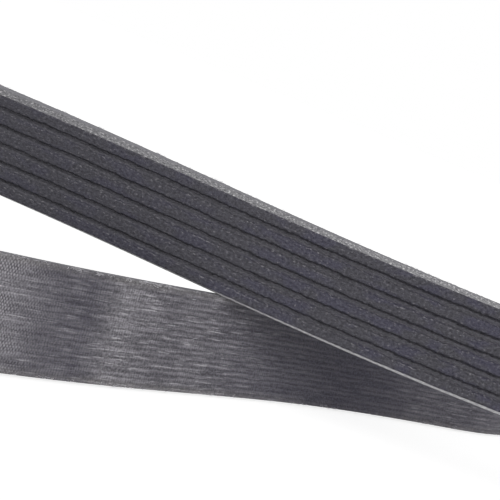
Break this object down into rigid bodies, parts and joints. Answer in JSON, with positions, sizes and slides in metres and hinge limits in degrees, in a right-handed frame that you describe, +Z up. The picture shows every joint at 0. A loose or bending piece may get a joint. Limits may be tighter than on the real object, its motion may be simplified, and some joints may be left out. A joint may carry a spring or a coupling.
{
  "type": "serpentine belt",
  "caption": "Endless ribbed drive belt lying in a figure of eight on its cut edges, ribs inwards, with a fabric back.",
  "frame": {"origin": "centre of the belt's outline on the floor it lies on", "axes": "+Z up, +X along the long axis of the figure of eight, towards the large loop; +Y completes the frame"},
  "size_m": [0.637, 0.2884, 0.0438],
  "materials": {
    "belt_rubber": "matte"
  },
  "bodies": {
    "root": {"ribbed_belt": "belt_rubber"}
  },
  "joints": []
}
